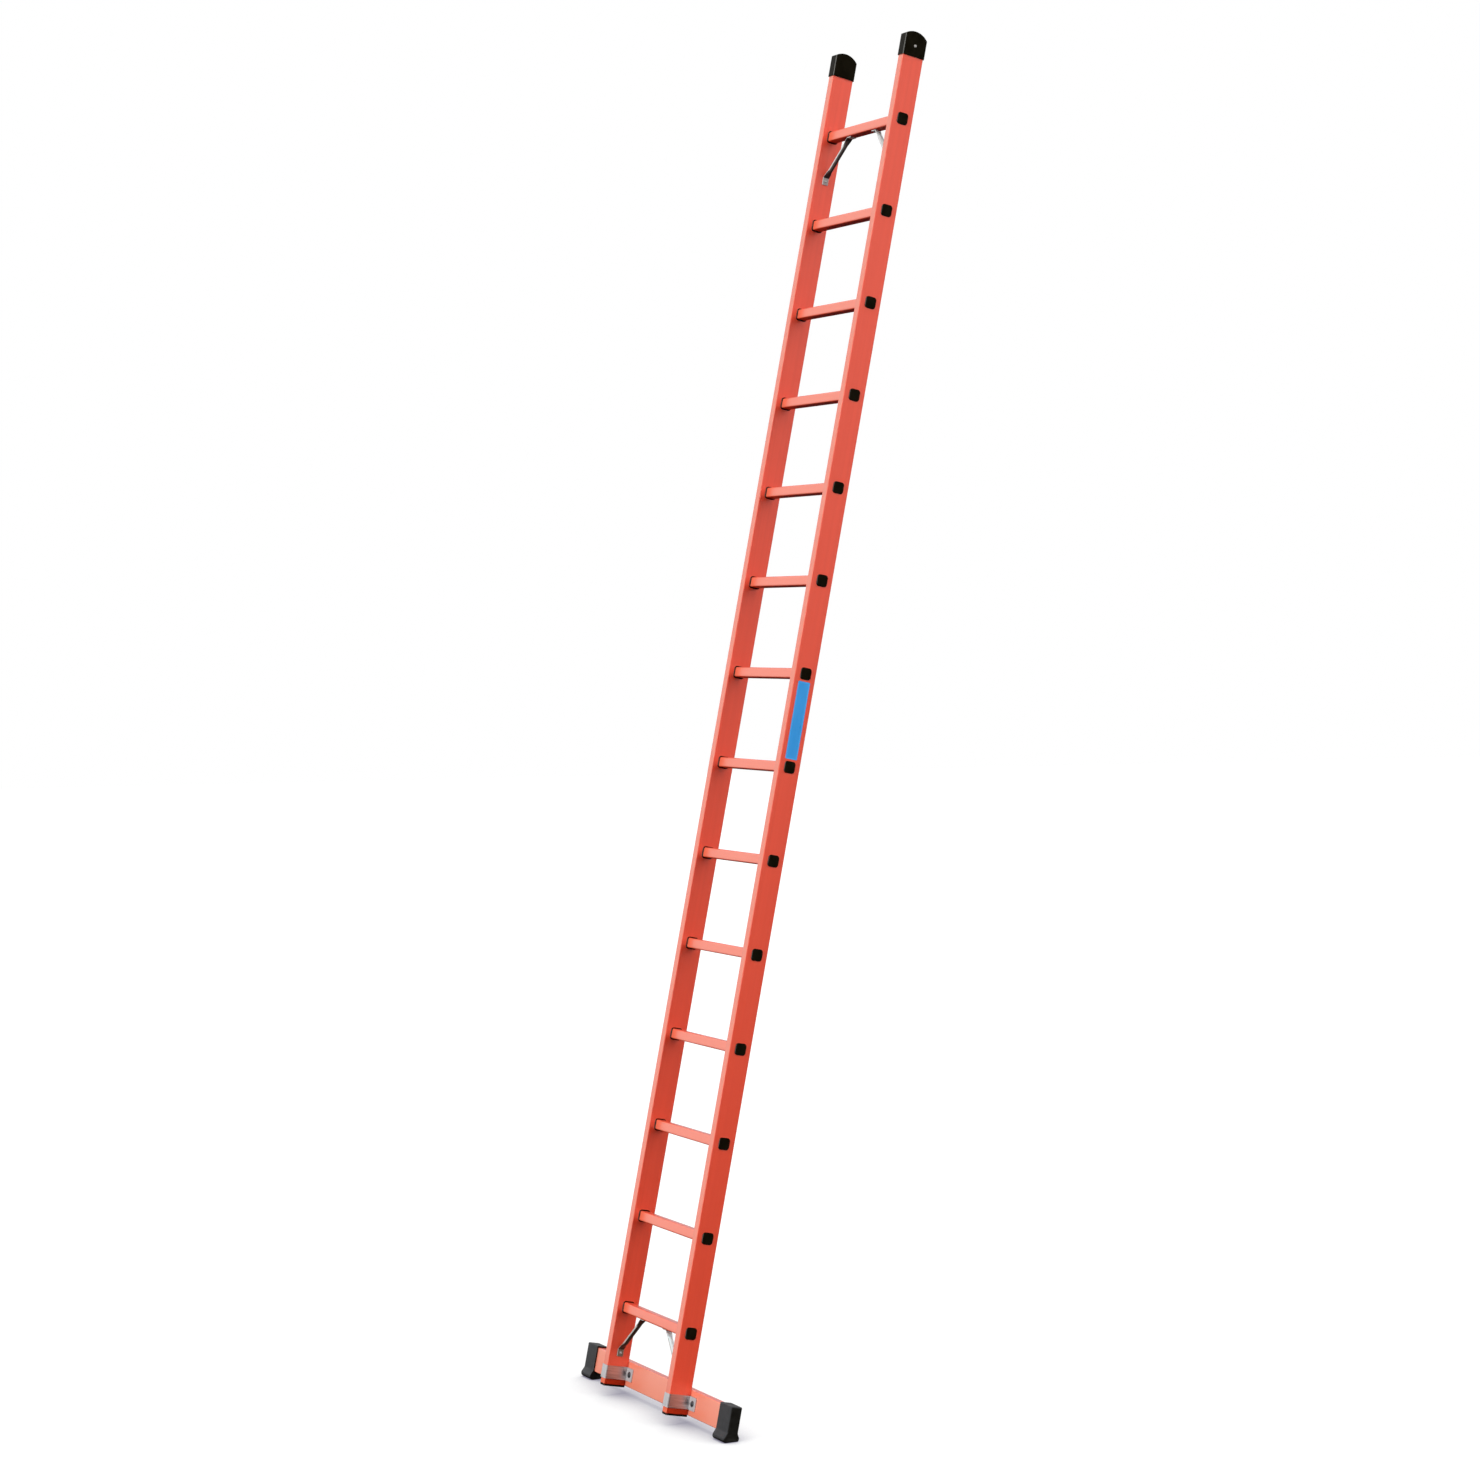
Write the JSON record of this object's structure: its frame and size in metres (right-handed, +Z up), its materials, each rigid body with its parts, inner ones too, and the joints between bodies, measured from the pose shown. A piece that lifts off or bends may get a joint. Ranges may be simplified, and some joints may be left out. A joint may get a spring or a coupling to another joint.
{
  "type": "fibreglass ladder",
  "caption": "Leaning single ladder of red fibreglass box stiles and square tube rungs, with black end caps, corner braces and a stabiliser bar with moulded feet.",
  "frame": {"origin": "on the floor, under the middle of the leaning ladder's box", "axes": "+Z up from the floor, +X to the climber's right, +Y away from the climber, the way the top leans"},
  "size_m": [0.964, 0.8733, 4.0965],
  "materials": {
    "fibreglass": "pigmented pultruded fibreglass, satin",
    "black_plastic": "moulded, satin",
    "foot_rubber": "moulded, matte",
    "bracket_steel": "brushed sheet",
    "brace_aluminium": "mill finish",
    "rivet_aluminium": "mill finish",
    "zinc_fastener": "zinc plated",
    "label_film": "printed film, plain"
  },
  "bodies": {
    "root": {"left_stile": "fibreglass", "right_stile": "fibreglass", "stabiliser_bar": "fibreglass", "rung_01": "fibreglass", "rung_02": "fibreglass", "rung_03": "fibreglass", "rung_04": "fibreglass", "rung_05": "fibreglass", "rung_06": "fibreglass", "rung_07": "fibreglass", "rung_08": "fibreglass", "rung_09": "fibreglass", "rung_10": "fibreglass", "rung_11": "fibreglass", "rung_12": "fibreglass", "rung_13": "fibreglass", "rung_14": "fibreglass", "left_rung_plugs": "black_plastic", "right_rung_plugs": "black_plastic", "left_rung_collars": "black_plastic", "right_rung_collars": "black_plastic", "left_top_cap": "black_plastic", "right_top_cap": "black_plastic", "left_base_plug": "black_plastic", "right_base_plug": "black_plastic", "left_foot": "foot_rubber", "right_foot": "foot_rubber", "left_clamp": "bracket_steel", "right_clamp": "bracket_steel", "lower_left_brace": "brace_aluminium", "lower_right_brace": "brace_aluminium", "upper_left_brace": "brace_aluminium", "upper_right_brace": "brace_aluminium", "top_cap_rivets": "rivet_aluminium", "brace_stile_rivets": "rivet_aluminium", "brace_rung_rivets": "rivet_aluminium", "clamp_bolts": "zinc_fastener", "clamp_washers": "zinc_fastener", "clamp_nuts": "zinc_fastener", "stile_label": "label_film"}
  },
  "joints": []
}
